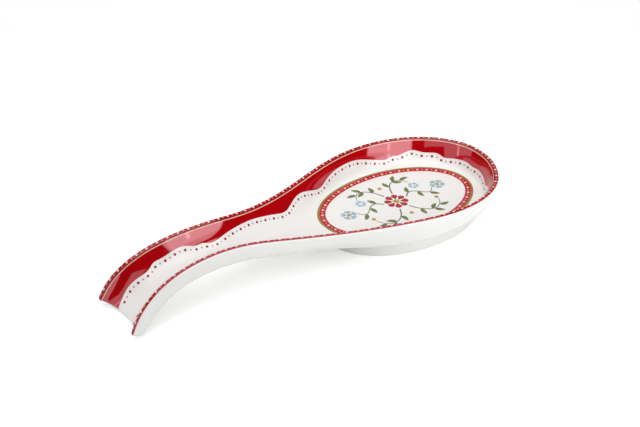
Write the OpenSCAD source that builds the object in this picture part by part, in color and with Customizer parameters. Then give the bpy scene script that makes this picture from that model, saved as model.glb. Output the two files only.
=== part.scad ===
// Ladle rest: an oval porcelain bowl with a trough handle that curves down to the table.
// The bowl stands on an oval foot ring and the tip of the handle stands on the table.
// Printed transfers lie on the glaze: a dotted rim band, two lines, a scalloped border
// with a row of lace dots, and an oval medallion with a flower spray on the floor.
// X runs from the handle's tip to the bowl, Z is up, and the origin is on the table
// at the middle of the length.

/* [Body] */
// Length from the tip of the handle to the end of the bowl
rest_l = 282; // [250:1:320]
// Width of the bowl across the crown of its rim
bowl_w = 103; // [94:1:114]
// Height of the bowl's rim
rim_h = 31; // [28:0.5:36]
// Width of the handle across the crown of its rim at its narrowest
handle_w = 35; // [30:0.5:42]
// Width of the handle at its tip
tip_w = 45; // [38:0.5:52]
// Height of the handle's crest
crest_h = 37.5; // [34:0.5:42]
// Depth of the trough in the handle
trough_d = 11; // [8:0.5:13]
// Height of the bowl's floor
floor_h = 15.3; // [13:0.1:18]
// Width of the bowl's flat floor
floor_w = 81; // [74:0.5:86]
// Run of the bowl's wall at the end of the bowl
nose_run = 10.4; // [8:0.1:13]
// Thickness of the floor
floor_t = 4.6; // [3.5:0.1:6]
// Radius of the rounded rim
rim_r = 1.9; // [1.5:0.1:2.4]
// Width of the flat strip along the bottom of the trough
keel_w = 2; // [1:0.5:4]
// Length of the rounding at the tip of the handle
tip_round = 1.5; // [0.8:0.1:2]

/* [Foot] */
// Length of the foot ring where it stands
foot_l = 116.6; // [104:0.2:120]
// Width of the foot ring where it stands
foot_w = 78; // [68:0.5:80]
// How far the foot ring widens towards the bowl
foot_flare = 2.2; // [1:0.1:3]
// Thickness of the foot ring's wall
foot_t = 4.4; // [3:0.1:6]
// Rounding of the foot ring's standing edge
foot_r = 0.8; // [0.4:0.1:1.2]
// How far the foot ring stands out past the end of the bowl's floor
foot_reach = 2.3; // [1:0.1:3]

/* [Rim band] */
// Width of the red band over the rim
band_w = 3.1; // [2.8:0.1:3.4]
// Width of the dark line under the band
dark_line_w = 0.45; // [0.3:0.05:0.7]
// Width of the cream line under the dark line
cream_line_w = 0.6; // [0.4:0.05:1.2]
// Distance between two large dots of the band
rim_pitch = 7.3; // [6:0.05:9]
// Diameter of a large dot on the band
rim_dot_d = 1.5; // [1.2:0.05:1.8]
// Diameter of a small dot on the band
rim_small_dot_d = 1.1; // [0.8:0.05:1.4]

/* [Border] */
// Depth of the scalloped edge under the top of the band
border_d = 15.1; // [13.5:0.1:16]
// Gap between the scalloped edge and the middle of the lace dots
lace_gap = 2.6; // [2.2:0.1:3.2]
// Distance between two large lace dots
lace_pitch = 7.2; // [6:0.05:9]
// Diameter of a large lace dot
lace_dot_d = 1.75; // [1:0.05:2]
// Diameter of a small lace dot
lace_small_dot_d = 1.15; // [0.7:0.05:1.4]

/* [Medallion] */
// Length of the medallion
medallion_l = 116.8; // [100:0.2:118]
// Room between the edge of the flat floor and the medallion
medallion_margin = 2.5; // [1.8:0.1:4]
// Width of the medallion's olive line
olive_line_w = 1.5; // [1:0.1:2.4]
// Width of the medallion's red band
medallion_band_w = 4.1; // [3:0.1:5]
// Number of large dots round the medallion
medallion_dots = 44; // [36:1:50]
// Diameter of a large dot on the medallion
medallion_dot_d = 1.7; // [1.2:0.05:2]
// Diameter of a small dot on the medallion
medallion_small_dot_d = 1.2; // [0.8:0.05:1.5]
// Thickness of a printed transfer
print_t = 0.25; // [0.2:0.05:0.4]

/* [Flower spray] */
// Length of the flower spray
spray_l = 86; // [70:1:92]
// Width of the flower spray
spray_w = 47; // [38:0.5:50]
// Width of a stem
stem_w = 0.9; // [0.6:0.05:1.2]
// Length of a leaf
leaf_l = 7; // [5:0.1:8]
// Width of a leaf
leaf_w = 3; // [2:0.1:3.6]
// Diameter of the rosette
rosette_d = 17; // [14:0.5:18]
// Diameter of the rosette's middle
rosette_middle_d = 4.4; // [3:0.1:4.8]
// Diameter of the two large blossoms
blossom_d = 11; // [9:0.5:12]
// Diameter of the two small blossoms
small_blossom_d = 7.5; // [6:0.5:9]
// Diameter of a bud
bud_d = 3; // [2:0.1:3.2]

/* [Hidden] */

half_l = rest_l / 2;
half_w = bowl_w / 2;
handle_hw = handle_w / 2;
tip_hw = tip_w / 2;
floor_hw = floor_w / 2;
bowl_d = rim_h - floor_h;
keel_hw = keel_w / 2;
// The bowl reaches back to where the medallion ends at the neck
neck_x = half_l - nose_run - medallion_margin - medallion_l;

// The rim and the edge of the floor are smooth curves drawn by rows of control points,
// from the end of the bowl to the tip. Places along X are shares of the way from the neck
// to the end of the bowl or, below zero, to the tip.
rim_x_shares = [1, 0.9848, 0.8913, 0.7152, 0.4988, 0.2825, 0.0825, -0.114, -0.3103,
    -0.483, -0.68, -0.848, -0.961, -1.005];
// Half widths of the rim, as shares of those of the bowl, the handle and the tip
rim_y_shares = [[0, 0, 0], [0.33, 0, 0], [0.719, 0, 0], [0.961, 0, 0], [1.029, 0, 0],
    [0.908, 0.1, 0], [0.657, 0.35, 0], [0.354, 0.65, 0], [0.1, 0.9, 0], [0, 1, 0], [0, 1, 0],
    [0, 0.65, 0.35], [0, 0.23, 0.77], [0, 0, 1]];
// Heights of the rim, as shares of the heights of the bowl's rim and the crest
rim_z_shares = [[1.035, 0], [1.016, 0], [0.974, 0], [0.977, 0], [1, 0], [1.02, 0],
    [0.994, 0], [0.98, 0], [0.7, 0.296], [0.22, 0.815], [0, 0.99], [0, 0.811], [0, 0.46],
    [0, 0.078]];
// How far the floor's edge lies back from the rim along X, as shares of the run of the
// wall at the end of the bowl and of the trough's depth
floor_back_shares = [[-1, 0], [-1.06, 0], [-1.1, 0], [-0.87, 0], [-0.38, 0], [0, 0],
    [0, 0], [0, 0], [0, 0], [0, 0.005], [0, 0.084], [0, 0.473], [0, 0.864], [0, 0.602]];
// Half widths of the flat floor, as shares of its greatest half width
floor_y_shares = [0, 0.358, 0.765, 0.975, 1.017, 0.963, 0.667, 0.1];
// Depth under the rim past the flat floor, as shares of the depths of bowl and trough
trough_shares = [[0.5, 0.35], [0.12, 0.848], [0, 1.098], [0, 1.028], [0, 0.729], [0, 0.168]];

rows = len(rim_x_shares);
flat_rows = len(floor_y_shares);
rim_points = [for (i = [0:rows - 1]) [
    neck_x + rim_x_shares[i] * (rim_x_shares[i] > 0 ? half_l - neck_x : half_l + neck_x),
    [half_w, handle_hw, tip_hw] * rim_y_shares[i],
    [rim_h, crest_h] * rim_z_shares[i]]];
floor_points = [for (i = [0:rows - 1]) [
    rim_points[i].x + [nose_run, trough_d] * floor_back_shares[i],
    i < flat_rows ? floor_hw * floor_y_shares[i] : keel_hw,
    i < flat_rows ? floor_h
        : rim_points[i].z - [bowl_d, trough_d] * trough_shares[i - flat_rows]]];

function unit(v) = v / norm(v);
function mix(a, b, k) = a * (1 - k) + b * k;
function ease(k) = let (c = min(max(k, 0), 1)) c * c * (3 - 2 * c);
function mirrored(p) = [p.x, -p.y, p.z];
function mirrored_row(points) = [for (p = points) mirrored(p)];

// Point of the smooth curve drawn by control points, at place g counted in rows
function curve(points, g) =
    let (i = min(floor(g), len(points) - 2), u = g - i, v = 1 - u,
        before = i == 0 ? mirrored(points[1]) : points[i - 1],
        after = i + 2 < len(points) ? points[i + 2] : 2 * points[i + 1] - points[i])
    (v ^ 3 * before + (3 * u ^ 3 - 6 * u ^ 2 + 4) * points[i]
        + (3 * v ^ 3 - 6 * v ^ 2 + 4) * points[i + 1] + u ^ 3 * after) / 6;

// Point of a cubic Bezier curve
function bezier(a, b, c, d, t) =
    (1 - t) ^ 3 * a + 3 * (1 - t) ^ 2 * t * b + 3 * (1 - t) * t ^ 2 * c + t ^ 3 * d;

// A section is drawn in a plane through the rim and the floor's edge, with h outwards
// and v upwards from the floor's edge. Angles are counted up from the horizontal.
steps_per_row = 5;
neck_row = 6;
last_station = 64;
neck_station = neck_row * steps_per_row;
// The bowl's section turns into the handle's between these rows
handle_from_row = 6.4;
handle_whole_row = 8.3;
// Angles on the rounded rim: the band's outer edge, and the middle of the rim line
band_edge_angle = 48;
rim_line_angle = 52;
// Slopes of the walls under the rim, and the pull of their curves, for bowl and handle
inner_angles = [60, 66];
outer_angles = [74, 90];
inner_pull_shares = [[0.5, 0.5], [0.55, 0.6]];
outer_pull_shares = [[0.55, 0.5], [0.8, 0.75]];
outer_steps = 8;
rim_steps = 4;
inner_steps = 9;
outer_count = outer_steps + 2;
half_count = outer_count + rim_steps + inner_steps + 1;

// Frame of a section: its origin, its two directions, its size and how far it is handle
function section_frame(g) =
    let (p = curve(rim_points, g), q = curve(floor_points, g), d = p - q,
        out = g < neck_row ? unit([d.x, d.y, 0]) : [0, 1, 0],
        up = g < neck_row ? [0, 0, 1] : unit([d.x, 0, d.z]),
        handle_share = (g - handle_from_row) / (handle_whole_row - handle_from_row))
    [q, out, up, d * out, d * up, ease(handle_share)];

function rim_centre(f) =
    [f[3], f[4]] - rim_r * [cos(rim_line_angle), sin(rim_line_angle)];

function outer_side(f) =
    let (angle = mix(outer_angles[0], outer_angles[1], f[5]),
        lip = mix(angle - 90, band_edge_angle, 0.5),
        pull = mix(outer_pull_shares[0], outer_pull_shares[1], f[5]),
        a = rim_centre(f) + rim_r * [sin(angle), -cos(angle)], d = [0, -floor_t],
        b = a - pull[0] * (a.y - d.y) * [cos(angle), sin(angle)],
        c = d + [pull[1] * a.x, 0])
    concat([for (i = [outer_steps:-1:0]) bezier(a, b, c, d, i / outer_steps)],
        [rim_centre(f) + rim_r * [cos(lip), sin(lip)]]);

function rim_side(f) =
    let (last = 90 + mix(inner_angles[0], inner_angles[1], f[5]), m = rim_centre(f))
    [for (i = [0:rim_steps - 1])
        let (a = mix(band_edge_angle, last, i / rim_steps)) m + rim_r * [cos(a), sin(a)]];

function inner_side(f) =
    let (angle = mix(inner_angles[0], inner_angles[1], f[5]),
        pull = mix(inner_pull_shares[0], inner_pull_shares[1], f[5]),
        a = rim_centre(f) + rim_r * [-sin(angle), cos(angle)], d = [0, 0],
        b = a - pull[0] * a.y / sin(angle) * [cos(angle), sin(angle)],
        c = [pull[1] * a.x, 0])
    [for (i = [0:inner_steps]) bezier(a, b, c, d, i / inner_steps)];

// Half a section from the underside over the rim to the floor, in space
function half_section(g) =
    let (f = section_frame(g))
    [for (hv = concat(outer_side(f), rim_side(f), inner_side(f)))
        f[0] + hv.x * f[1] + hv.y * f[2]];

sections = [for (i = [0:last_station]) half_section(i / steps_per_row)];

// Faces between rings of n points each
function skin(count, n) =
    [for (i = [0:count - 2], j = [0:n - 1])
        let (a = i * n, b = (i + 1) * n, k = (j + 1) % n)
        each [[a + j, b + j, b + k], [a + j, b + k, a + k]]];
// Faces that close a thin ring of n points across from one of its sides to the other
function cross_cap(first, n) = [for (j = [0:n / 2 - 2])
    [first + j, first + j + 1, first + n - 2 - j, first + n - 1 - j]];
function turned_over(faces) = [for (face = faces) [for (k = [len(face) - 1:-1:0]) face[k]]];

// The bowl's wall is a row of half sections round its end, from neck to neck
module bowl_wall() {
    halves = concat([for (i = [neck_station:-1:0]) sections[i]],
        [for (i = [1:neck_station]) mirrored_row(sections[i])]);
    color("white")
    polyhedron([for (half = halves) each half], concat(skin(len(halves), half_count),
        cross_cap(0, half_count),
        turned_over(cross_cap((len(halves) - 1) * half_count, half_count))));
}

// The bowl's floor is a plate that fills the wall's inner edge
module bowl_floor() {
    edge = [for (i = [0:neck_station]) curve(floor_points, i / steps_per_row)];
    far_edge = [for (i = [neck_station:-1:0]) [edge[i].x, edge[i].y]];
    near_edge = [for (i = [1:neck_station]) [edge[i].x, -edge[i].y]];
    color("white")
    translate([0, 0, floor_h - floor_t])
        linear_extrude(floor_t) polygon(concat(far_edge, near_edge));
}

// The handle is a row of whole sections from the neck to the tip, which is rounded off
function whole_section(i) =
    concat(mirrored_row(sections[i]), [for (j = [half_count - 1:-1:0]) sections[i][j]]);
tip_ring = whole_section(last_station);
tip_forward = let (f = section_frame(last_station / steps_per_row)) cross(f[2], f[1]);
function tip_inward(j) =
    let (n = len(tip_ring), along = tip_ring[(j + 1) % n] - tip_ring[(j + n - 1) % n])
    unit(cross(tip_forward, along));
tip_turns = [30, 60, 90];

// A whole section is closed across each of its walls and across the strip between them
function section_cap(first) =
    let (middle = first + half_count, n = half_count)
    concat(cross_cap(first, n), cross_cap(middle, n), [[middle - 1, middle, middle + n - 1, first]]);

module handle() {
    rings = concat([for (i = [neck_station:last_station]) whole_section(i)],
        [for (a = tip_turns) [for (j = [0:len(tip_ring) - 1])
            tip_ring[j] + tip_round * (sin(a) * tip_forward + (1 - cos(a)) * tip_inward(j))]]);
    n = len(tip_ring);
    color("white")
    polyhedron([for (ring = rings) each ring],
        concat(skin(len(rings), n), section_cap(0),
            turned_over(section_cap((len(rings) - 1) * n))));
}

// Height of the underside over a place on the table. Past the flat floor's edge it
// follows the outer wall, found between the two nearest half sections of the bowl.
under_frames = [for (i = [0:neck_station]) section_frame(i / steps_per_row)];
under_tables = [for (f = under_frames) outer_side(f)];
function under_height(place) =
    let (p = [place.x, abs(place.y)],
        sides = [for (f = under_frames)
            f[1].x * (p.y - f[0].y) - f[1].y * (p.x - f[0].x)],
        reaches = [for (f = under_frames)
            f[1].x * (p.x - f[0].x) + f[1].y * (p.y - f[0].y)],
        found = [for (i = [0:neck_station - 1]) if (sides[i] >= 0 && sides[i + 1] < 0) i])
    len(found) == 0 ? floor_h - floor_t
        : let (i = found[0], u = sides[i] / (sides[i] - sides[i + 1]),
            h = mix(reaches[i], reaches[i + 1], u))
            floor_h + mix(lookup(h, under_tables[i]), lookup(h, under_tables[i + 1]), u);

// The foot ring is a low oval wall that flares up into the underside
medallion_hw = floor_hw - medallion_margin;
floor_end = curve(floor_points, 0).x;
medallion_x = floor_end - medallion_margin - medallion_l / 2;
foot_x = floor_end + foot_reach - foot_l / 2;
foot_sides = 72;
foot_edge_turns = [0, 30, 60, 90];
foot_wall_shares = [0.25, 0.5, 0.75];
foot_top_shares = [0, 0.25, 0.5, 0.75, 1];
// Clearance between the foot ring and the underside
seat_gap = 0.05;

module foot_ring() {
    function place(i, out) = [
        foot_x + (foot_l / 2 + out) * cos(360 * i / foot_sides),
        (foot_w / 2 + out) * sin(360 * i / foot_sides)];
    function point(i, out, z) = concat(place(i, out), [z]);
    function top_point(i, out) = point(i, out, under_height(place(i, out)) - seat_gap);
    function wall(i) = concat(
        [for (a = foot_edge_turns)
            point(i, foot_r * (1 - sin(a)) - foot_t, foot_r * (1 - cos(a)))],
        [for (k = foot_top_shares) top_point(i, foot_flare - foot_t * (1 - k))],
        [for (k = [for (i = [len(foot_wall_shares) - 1:-1:0]) foot_wall_shares[i]])
            let (top = under_height(place(i, foot_flare)))
            point(i, foot_flare * k ^ 2, mix(foot_r, top, k))],
        [for (j = [len(foot_edge_turns) - 1:-1:0]) let (a = foot_edge_turns[j])
            point(i, foot_r * (sin(a) - 1), foot_r * (1 - cos(a)))]);
    n = len(wall(0));
    color("white")
    polyhedron([for (i = [0:foot_sides - 1]) each wall(i)],
        [for (i = [0:foot_sides - 1], j = [0:n - 1])
            let (a = i * n, b = (i + 1) % foot_sides * n, k = (j + 1) % n)
            each [[a + j, b + j, b + k], [a + j, b + k, a + k]]]);
}

// Where a printed pattern lies is given by how far along the rim from the end of the bowl
// it is, and by how deep under the outer edge of the rim band, both along the surface
function running(points) =
    [for (j = 0, s = 0; j < len(points); j = j + 1,
        s = j < len(points) ? s + norm(points[j] - points[j - 1]) : s) s];
rim_run = running([for (i = [0:last_station]) curve(rim_points, i / steps_per_row)]);
rim_half_l = rim_run[last_station];
walls = [for (half = sections) [for (j = [outer_count:half_count - 1]) half[j]]];
wall_runs = [for (wall = walls) running(wall)];
wall_tables = [for (i = [0:last_station]) [for (axis = [0:2])
    [for (j = [0:len(walls[i]) - 1]) [wall_runs[i][j], walls[i][j][axis]]]]];
function wall_point(i, depth) = [for (axis = [0:2]) lookup(depth, wall_tables[i][axis])];
station_table = [for (i = [0:last_station]) [rim_run[i], i]];
function glaze_point(along, depth) =
    along < 0 ? mirrored(glaze_point(-along, depth))
        : let (station = lookup(along, station_table), i = min(floor(station), last_station - 1))
            mix(wall_point(i, depth), wall_point(i + 1, depth), station - i);

// Direction straight off the surface, from points a short probe apart
probe = rim_r / 4;
function off_glaze(along, depth) =
    let (a = min(along, rim_half_l - probe))
    unit(cross(glaze_point(a + probe, depth) - glaze_point(a - probe, depth),
        glaze_point(a, depth + probe) - glaze_point(a, depth - min(depth, probe))));

// Clearance between the glaze and a print on it
print_gap = 0.06;

// A printed strip is a row of cross rows of [along, depth] points
module printed_strip(cross_rows) {
    count = len(cross_rows);
    m = len(cross_rows[0]);
    rings = [for (row = cross_rows)
        let (foot = [for (w = row) glaze_point(w[0], w[1])],
            lift = [for (w = row) off_glaze(w[0], w[1])])
        concat([for (j = [0:m - 1]) foot[j] + print_gap * lift[j]],
            [for (j = [m - 1:-1:0]) foot[j] + (print_gap + print_t) * lift[j]])];
    polyhedron([for (ring = rings) each ring],
        concat(skin(count, 2 * m), cross_cap(0, 2 * m),
            turned_over(cross_cap((count - 1) * 2 * m, 2 * m))));
}

// Both halves of the rim, from one corner of the tip round the bowl to the other
function both_halves(half) =
    concat([for (i = [len(half) - 1:-1:1]) [for (w = half[i]) [-w[0], w[1]]]], half);
function dots_along(first, pitch, last) =
    [for (s = [first:pitch:last]) each s == 0 ? [s] : [s, -s]];

// A printed dot is a flat disc that lies on the surface, or on a band printed there
module printed_dot(along, depth, d, layer) {
    n = off_glaze(along, depth);
    translate(glaze_point(along, depth) + (print_gap + layer * print_t) * n)
        rotate([0, acos(n.z), atan2(n.y, n.x)])
            cylinder(h = print_t, d = d, $fn = dot_sides);
}
dot_sides = 24;

// The band follows the flats of the rounded rim and ends at its width
function band_depth(i, j) =
    j == rim_steps ? band_w : min(wall_runs[i][j], band_w * (j + 0.5) / rim_steps);
module rim_band() {
    color("firebrick")
    printed_strip(both_halves([for (i = [0:last_station])
        [for (j = [0:rim_steps]) [rim_run[i], band_depth(i, j)]]]));
}

rim_dot_share = 0.54;
rim_dot_depth = rim_dot_share * band_w;
module rim_large_dots() {
    color("white")
    for (s = dots_along(rim_pitch / 2, rim_pitch, rim_half_l - rim_dot_d))
        printed_dot(s, rim_dot_depth, rim_dot_d, 1);
}

module rim_small_dots() {
    color("pink")
    for (s = dots_along(0, rim_pitch, rim_half_l - rim_dot_d))
        printed_dot(s, rim_dot_depth, rim_small_dot_d, 1);
}

module line_under_rim(top, bottom) {
    printed_strip(both_halves([for (i = [0:last_station])
        [[rim_run[i], top], [rim_run[i], bottom]]]));
}

dark_line_bottom = band_w + dark_line_w;
module rim_dark_line() {
    color("darkolivegreen")
    line_under_rim(band_w, dark_line_bottom);
}

border_top = dark_line_bottom + cream_line_w;
module rim_cream_line() {
    color("wheat")
    line_under_rim(dark_line_bottom, border_top);
}

// The scalloped edge: places along half the rim and depths, as shares of the border's
scallop_shares = [
    [0, 0.98], [0.018, 0.85], [0.062, 0.94], [0.081, 1.05], [0.096, 0.76], [0.132, 0.91],
    [0.157, 0.62], [0.189, 0.98], [0.204, 0.88], [0.218, 1.04], [0.23, 1.02], [0.275, 0.8],
    [0.31, 0.57], [0.399, 0.66], [0.422, 1.22], [0.494, 0.37], [0.539, 1.06], [0.573, 0.8],
    [0.601, 0.67], [0.644, 0.52], [0.707, 0.75], [0.744, 1.09], [0.762, 0.81], [0.78, 0.95],
    [0.803, 0.6], [0.853, 0.83], [0.874, 0.7], [0.892, 1.02], [0.938, 0.82], [1, 1.05]];
scallop_points = [for (w = scallop_shares) [w[1] * border_d, w[0] * rim_half_l, 0]];
scallop_steps = 4;
scallop_count = scallop_steps * (len(scallop_points) - 1);
scallop_edge = [for (i = [0:scallop_count])
    let (p = curve(scallop_points, i / scallop_steps)) [p.y, p.x]];
border_columns = 3;

module scalloped_border() {
    color("crimson")
    printed_strip(both_halves([for (w = scallop_edge)
        [for (j = [0:border_columns]) [w[0], mix(border_top, w[1], j / border_columns)]]]));
}

// The row of lace dots keeps a gap to the scalloped edge
lace_row = [for (i = [0:scallop_count])
    let (way = scallop_edge[min(i + 1, scallop_count)] - scallop_edge[max(i - 1, 0)],
        level = i == 0 ? [way[0], 0] : way)
    scallop_edge[i] + lace_gap * unit([-level[1], level[0]])];
lace_run = running([for (w = lace_row) glaze_point(w[0], w[1])]);
lace_l = lace_run[scallop_count];
lace_tables = [for (axis = [0:1]) [for (i = [0:scallop_count]) [lace_run[i], lace_row[i][axis]]]];

module lace_dots(first, d) {
    for (s = [first:lace_pitch:lace_l - d], side = s == 0 ? [1] : [1, -1])
        printed_dot(side * lookup(s, lace_tables[0]), lookup(s, lace_tables[1]), d, 0);
}

module lace_large_dots() {
    color("firebrick")
    lace_dots(lace_pitch / 2, lace_dot_d);
}

module lace_small_dots() {
    color("rosybrown")
    lace_dots(0, lace_small_dot_d);
}

// The medallion lies on the flat floor
oval_sides = 96;
medallion_band_l = medallion_l - 2 * olive_line_w;
medallion_band_hw = medallion_hw - olive_line_w;
function oval(l, hw) = [for (i = [0:oval_sides - 1])
    let (a = 360 * i / oval_sides) [l / 2 * cos(a), hw * sin(a)]];
module on_medallion(layer) {
    translate([medallion_x, 0, floor_h + print_gap + layer * print_t]) children();
}
module printed_ring(l, hw, w) {
    linear_extrude(print_t)
        difference() {
            polygon(oval(l, hw));
            polygon(oval(l - 2 * w, hw - w));
        }
}

module medallion_olive_line() {
    color("olive")
    on_medallion(0) printed_ring(medallion_l, medallion_hw, olive_line_w);
}

module medallion_red_band() {
    color("crimson")
    on_medallion(0) printed_ring(medallion_band_l, medallion_band_hw, medallion_band_w);
}

// Dots stand at even steps along the middle of the red band
dot_oval = let (o = oval(medallion_band_l - medallion_band_w,
    medallion_band_hw - medallion_band_w / 2)) concat(o, [o[0]]);
dot_oval_run = running(dot_oval);
module medallion_dot_row(first, d) {
    pitch = dot_oval_run[oval_sides] / medallion_dots;
    for (i = [0:medallion_dots - 1]) {
        s = (i + first) * pitch;
        place = [for (axis = [0:1])
            lookup(s, [for (j = [0:oval_sides]) [dot_oval_run[j], dot_oval[j][axis]]])];
        translate(place) cylinder(h = print_t, d = d, $fn = dot_sides);
    }
}

module medallion_large_dots() {
    color("white")
    on_medallion(1) medallion_dot_row(0, medallion_dot_d);
}

module medallion_small_dots() {
    color("pink")
    on_medallion(1) medallion_dot_row(0.5, medallion_small_dot_d);
}

// The flower spray has a rosette in its middle and three stems to each side. Its places
// are shares of half its length and half its width.
spray_half = [spray_l / 2, spray_w / 2];
function spray_place(share) = [share[0] * spray_half.x, share[1] * spray_half.y];
stem_shares = [
    [[0.22, 0.05], [0.45, 0.6], [0.55, -0.5], [0.71, 0.06]],
    [[0.09, -0.385], [0.25, -1.05], [0.52, -1], [0.6, -0.52]],
    [[0.08, 0.39], [0.2, 1.1], [0.44, 1.05], [0.5, 0.62]]];
stem_ends = [for (stem = stem_shares) [for (share = stem) spray_place(share)]];
stem_steps = 14;
function stem_point(k, t) =
    let (e = stem_ends[k]) bezier(e[0], e[1], e[2], e[3], t);
stem_probe_share = 0.02;
function stem_way(k, t) =
    unit(stem_point(k, t + stem_probe_share) - stem_point(k, t - stem_probe_share));
function left_of(way) = [-way.y, way.x];

module both_sides() {
    children();
    mirror([1, 0, 0]) children();
}
module stem(k) {
    left = [for (i = [0:stem_steps]) let (t = i / stem_steps)
        stem_point(k, t) + stem_w / 2 * left_of(stem_way(k, t))];
    right = [for (i = [stem_steps:-1:0]) let (t = i / stem_steps)
        stem_point(k, t) - stem_w / 2 * left_of(stem_way(k, t))];
    linear_extrude(print_t) polygon(concat(left, right));
}

module spray_stems() {
    color("olivedrab")
    on_medallion(0) both_sides() for (k = [0:len(stem_ends) - 1]) stem(k);
}

// Each leaf: its stem, its place along the stem and the angle at which it leaves it
leaf_places = [[0, 0.15, 46], [0, 0.45, -50], [0, 0.78, -46], [1, 0.2, -45], [1, 0.45, 48],
    [1, 0.5, -42], [1, 0.75, -46], [2, 0.2, 42], [2, 0.45, -46], [2, 0.5, 42], [2, 0.75, 46]];
leaf_sides = 9;
module leaf() {
    edge = [for (i = [0:leaf_sides]) let (t = i / leaf_sides)
        [leaf_l * t, leaf_w / 2 * sin(180 * t ^ 0.8)]];
    linear_extrude(print_t)
        polygon(concat(edge, [for (i = [leaf_sides - 1:-1:1]) [edge[i].x, -edge[i].y]]));
}

module spray_leaves() {
    color("forestgreen")
    on_medallion(0) both_sides() for (place = leaf_places) {
        way = stem_way(place[0], place[1]);
        side = sign(place[2]);
        translate(stem_point(place[0], place[1]) + side * stem_w * left_of(way))
            rotate(atan2(way.y, way.x) + place[2]) leaf();
    }
}

// A flower is a ring of round petals about an open middle
module flower(d, petals) {
    petal_d = d * petal_share;
    for (i = [0:petals - 1])
        rotate(360 * (i + 0.5) / petals)
            translate([(d - petal_d) / 2, 0]) cylinder(h = print_t, d = petal_d, $fn = dot_sides);
}
petal_share = 0.34;
rosette_petals = 8;
blossom_petals = 5;
side_blossom_share = [0.85, 0.12];
top_blossom_share = [0.51, 0.43];
bud_shares = [[0.605, -0.43], [0, -0.72], [0, 0.8]];

module spray_red_flowers() {
    color("firebrick")
    on_medallion(0) flower(rosette_d, rosette_petals);
}

module spray_blue_flowers() {
    color("skyblue")
    on_medallion(0) both_sides() {
        translate(spray_place(side_blossom_share)) flower(blossom_d, blossom_petals);
        translate(spray_place(top_blossom_share)) flower(small_blossom_d, blossom_petals);
    }
}

module spray_ochre_buds() {
    color("peru")
    on_medallion(0) {
        cylinder(h = print_t, d = rosette_middle_d, $fn = dot_sides);
        both_sides() {
            translate(spray_place(side_blossom_share))
                cylinder(h = print_t, d = bud_d, $fn = dot_sides);
            translate(spray_place(bud_shares[0]))
                cylinder(h = print_t, d = bud_d, $fn = dot_sides);
        }
        for (k = [1:len(bud_shares) - 1])
            translate(spray_place(bud_shares[k]))
                cylinder(h = print_t, d = bud_d, $fn = dot_sides);
    }
}

bowl_wall();
bowl_floor();
handle();
foot_ring();
rim_band();
rim_large_dots();
rim_small_dots();
rim_dark_line();
rim_cream_line();
scalloped_border();
lace_large_dots();
lace_small_dots();
medallion_olive_line();
medallion_red_band();
medallion_large_dots();
medallion_small_dots();
spray_stems();
spray_leaves();
spray_red_flowers();
spray_blue_flowers();
spray_ochre_buds();
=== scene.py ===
import math

import bmesh
import bpy
import numpy as np
from mathutils import Matrix, Vector
from mathutils.bvhtree import BVHTree


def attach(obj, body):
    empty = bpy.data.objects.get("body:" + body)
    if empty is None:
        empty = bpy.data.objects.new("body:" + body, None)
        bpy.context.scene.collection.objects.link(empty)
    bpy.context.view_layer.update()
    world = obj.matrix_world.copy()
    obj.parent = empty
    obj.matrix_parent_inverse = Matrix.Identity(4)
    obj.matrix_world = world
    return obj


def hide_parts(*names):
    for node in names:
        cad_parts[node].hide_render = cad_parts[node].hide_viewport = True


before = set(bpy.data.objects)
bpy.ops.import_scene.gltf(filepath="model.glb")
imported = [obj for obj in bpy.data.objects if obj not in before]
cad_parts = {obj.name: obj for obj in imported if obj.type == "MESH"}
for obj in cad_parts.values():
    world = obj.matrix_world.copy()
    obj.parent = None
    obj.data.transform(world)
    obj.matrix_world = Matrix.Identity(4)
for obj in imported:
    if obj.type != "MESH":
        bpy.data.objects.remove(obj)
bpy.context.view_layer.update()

# Porcelain body: the bowl and the trough handle are one slip-cast piece of hard
# porcelain, fired white under a clear glossy glaze. It is drawn as sections that
# follow the rim, from the end of the bowl to the tip that stands on the table.
MM = 0.001
rest_l, bowl_w, rim_h = 282, 103, 31
handle_w, tip_w, crest_h, trough_d = 35, 45, 37.5, 11
floor_h, floor_w, floor_t, nose_run = 15.3, 81, 4.6, 10.4
rim_r, tip_round, keel_w = 1.9, 1.5, 2
medallion_l, medallion_margin = 116.8, 2.5
neck_x = rest_l / 2 - nose_run - medallion_margin - medallion_l

# Control points of the rim and of the floor's edge, as shares of those sizes
rim_x_shares = [1, 0.9848, 0.8913, 0.7152, 0.4988, 0.2825, 0.0825, -0.114, -0.3103,
    -0.483, -0.68, -0.848, -0.961, -1.005]
rim_y_shares = [[0, 0, 0], [0.33, 0, 0], [0.719, 0, 0], [0.961, 0, 0], [1.029, 0, 0],
    [0.908, 0.1, 0], [0.657, 0.35, 0], [0.354, 0.65, 0], [0.1, 0.9, 0], [0, 1, 0],
    [0, 1, 0], [0, 0.65, 0.35], [0, 0.23, 0.77], [0, 0, 1]]
rim_z_shares = [[1.035, 0], [1.016, 0], [0.974, 0], [0.977, 0], [1, 0], [1.02, 0],
    [0.994, 0], [0.98, 0], [0.7, 0.296], [0.22, 0.815], [0, 0.99], [0, 0.811],
    [0, 0.46], [0, 0.078]]
floor_back_shares = [[-1, 0], [-1.06, 0], [-1.1, 0], [-0.87, 0], [-0.38, 0], [0, 0],
    [0, 0], [0, 0], [0, 0], [0, 0.005], [0, 0.084], [0, 0.473], [0, 0.864], [0, 0.602]]
floor_y_shares = [0, 0.358, 0.765, 0.975, 1.017, 0.963, 0.667, 0.1]
trough_shares = [[0.5, 0.35], [0.12, 0.848], [0, 1.098], [0, 1.028], [0, 0.729], [0, 0.168]]
flat_rows = len(floor_y_shares)
rim_points = np.array([[
    neck_x + x * (rest_l / 2 - neck_x if x > 0 else rest_l / 2 + neck_x),
    np.dot([bowl_w / 2, handle_w / 2, tip_w / 2], y),
    np.dot([rim_h, crest_h], z)]
    for x, y, z in zip(rim_x_shares, rim_y_shares, rim_z_shares)])
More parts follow.
